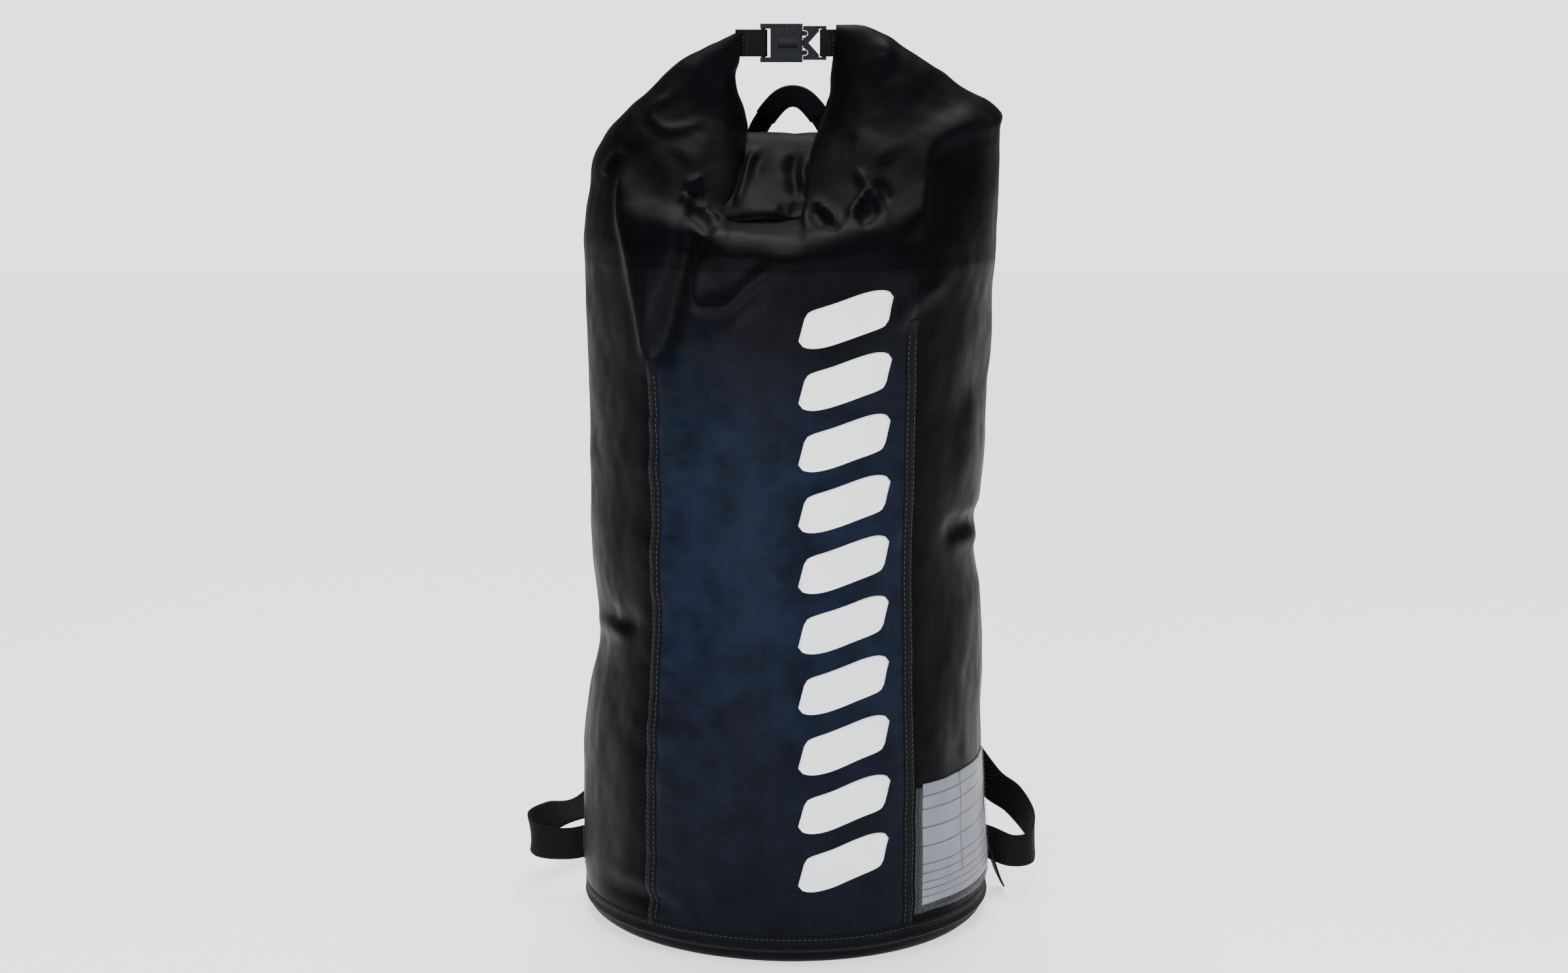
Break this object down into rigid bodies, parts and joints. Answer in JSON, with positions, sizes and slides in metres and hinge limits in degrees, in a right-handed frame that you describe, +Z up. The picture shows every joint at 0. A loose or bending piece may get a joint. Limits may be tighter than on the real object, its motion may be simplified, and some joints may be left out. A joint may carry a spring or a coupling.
{
  "type": "roll-top rope storage bag",
  "caption": "Tall round roll-top rope bag of coated fabric with a buckled carry loop, haul handle, information pocket and two padded shoulder straps.",
  "frame": {"origin": "middle of the round base, on the surface that it stands on", "axes": "+Z up, -Y out of the front panel, +X to the right as seen from the front; the straps are on +Y"},
  "size_m": [0.4069, 0.3574, 0.6782],
  "materials": {
    "coated_fabric": "satin PVC coat, navy-black",
    "side_fabric": "satin PVC coat, black",
    "seam_tape": "welded tape, slight gloss",
    "base_fabric": "matt reinforced base cloth",
    "stiffener_sheet": "foam and plastic sheet",
    "webbing": "woven polyester webbing",
    "buckle_plastic": "moulded acetal",
    "pad_mesh": "padded mesh",
    "pocket_vinyl": "welded vinyl edge",
    "clear_vinyl": "clear soft vinyl",
    "printed_card": "grey printed card",
    "white_print": "white screen print"
  },
  "bodies": {
    "bag": {"front_panel": "coated_fabric", "left_side_panel": "side_fabric", "right_side_panel": "side_fabric", "back_panel": "side_fabric", "seam_piping": "seam_tape", "base_panel": "base_fabric", "base_welt": "seam_tape", "base_stiffener": "stiffener_sheet", "rope_tie_loop": "webbing", "shoulder_shell": "coated_fabric", "left_gusset": "coated_fabric", "right_gusset": "coated_fabric", "roll_centre": "coated_fabric", "mouth_stiffener": "stiffener_sheet", "handle_patch": "webbing", "strap_yoke": "webbing", "left_lower_webbing": "webbing", "right_lower_webbing": "webbing", "left_anchor_tab": "webbing", "right_anchor_tab": "webbing", "info_pocket": "pocket_vinyl", "info_window": "clear_vinyl", "front_print": "white_print"},
    "left_closure": {"left_arm": "coated_fabric", "left_tab": "webbing", "buckle_socket": "buckle_plastic"},
    "right_closure": {"right_arm": "coated_fabric", "right_tab": "webbing", "buckle_plug": "buckle_plastic"},
    "upper_latch_arm": {"upper_latch": "buckle_plastic"},
    "lower_latch_arm": {"lower_latch": "buckle_plastic"},
    "handle": {"haul_handle": "webbing", "handle_grip": "webbing"},
    "left_strap": {"left_pad": "pad_mesh", "left_pad_webbing": "webbing", "left_ladder_lock": "buckle_plastic", "left_tail": "webbing"},
    "right_strap": {"right_pad": "pad_mesh", "right_pad_webbing": "webbing", "right_ladder_lock": "buckle_plastic", "right_tail": "webbing"},
    "card": {"info_card": "printed_card"}
  },
  "joints": [
    {"name": "left_closure_bend", "type": "hinge", "parent": "bag", "child": "left_closure", "pos_m": [-0.134, 0, 0.588], "axis": [0, -1, 0], "range_deg": [0, 80]},
    {"name": "right_closure_bend", "type": "hinge", "parent": "bag", "child": "right_closure", "pos_m": [0.134, 0, 0.588], "axis": [0, 1, 0], "range_deg": [0, 80]},
    {"name": "upper_latch_flex", "type": "hinge", "parent": "right_closure", "child": "upper_latch_arm", "pos_m": [0.009, 0, 0.671], "axis": [0, -1, 0], "range_deg": [0, 8], "stiffness_Nm_per_rad": 0.6},
    {"name": "lower_latch_flex", "type": "hinge", "parent": "right_closure", "child": "lower_latch_arm", "pos_m": [0.009, 0, 0.657], "axis": [0, 1, 0], "range_deg": [0, 8], "stiffness_Nm_per_rad": 0.6},
    {"name": "handle_fold", "type": "hinge", "parent": "bag", "child": "handle", "pos_m": [0, 0.076, 0.549], "axis": [1, 0, 0], "range_deg": [-90, 10]},
    {"name": "left_strap_swing", "type": "hinge", "parent": "bag", "child": "left_strap", "pos_m": [-0.034, 0.15, 0.468], "axis": [1, 0, 0], "range_deg": [0, 25]},
    {"name": "right_strap_swing", "type": "hinge", "parent": "bag", "child": "right_strap", "pos_m": [0.034, 0.15, 0.468], "axis": [1, 0, 0], "range_deg": [0, 25]},
    {"name": "card_slide", "type": "slide", "parent": "bag", "child": "card", "axis": [0, 0, 1], "range_m": [0, 0.09]}
  ],
  "couplings": [
    {"joint": "right_closure_bend", "follows": "left_closure_bend", "ratio": 1},
    {"joint": "lower_latch_flex", "follows": "upper_latch_flex", "ratio": 1}
  ]
}
